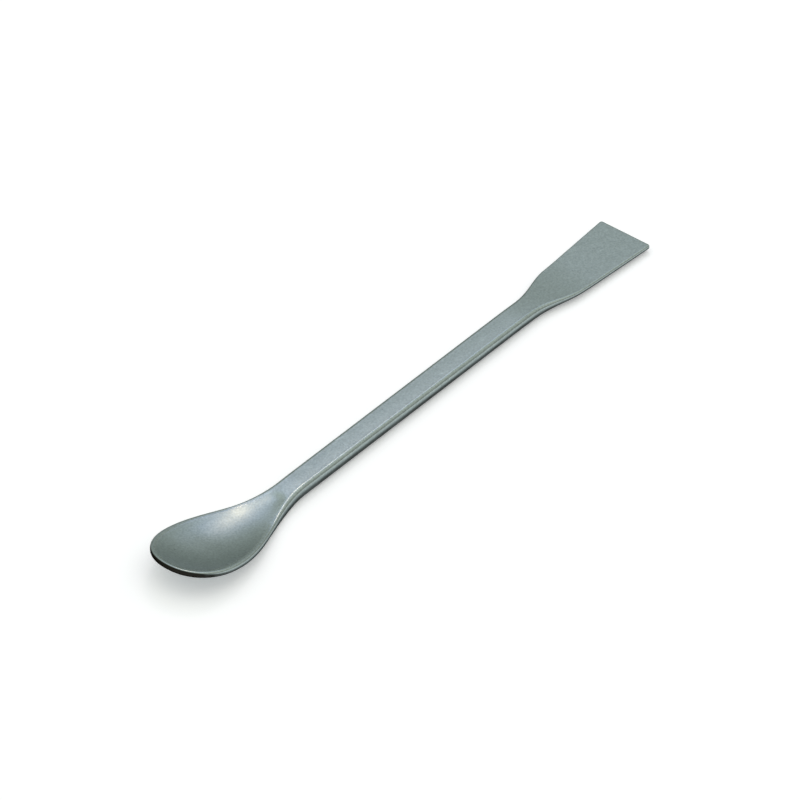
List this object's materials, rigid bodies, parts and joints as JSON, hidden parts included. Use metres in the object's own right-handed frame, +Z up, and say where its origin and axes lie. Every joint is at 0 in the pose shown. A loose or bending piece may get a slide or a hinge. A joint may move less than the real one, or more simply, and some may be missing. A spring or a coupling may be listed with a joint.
{
  "type": "lab spatula",
  "caption": "One-piece steel lab spatula with an egg-shaped spoon bowl at one end, a straight flat bar as handle and a flared flat blade at the other",
  "frame": {"origin": "under the middle of the length and of the width, on the level of the lowest point", "axes": "+X runs from the bowl's tip to the blade's end, +Y across the width, +Z up with the bowl's hollow facing up"},
  "size_m": [0.18, 0.0228, 0.0086],
  "materials": {
    "steel": "satin, fine matt grain"
  },
  "bodies": {
    "root": {"spatula": "steel"}
  },
  "joints": []
}
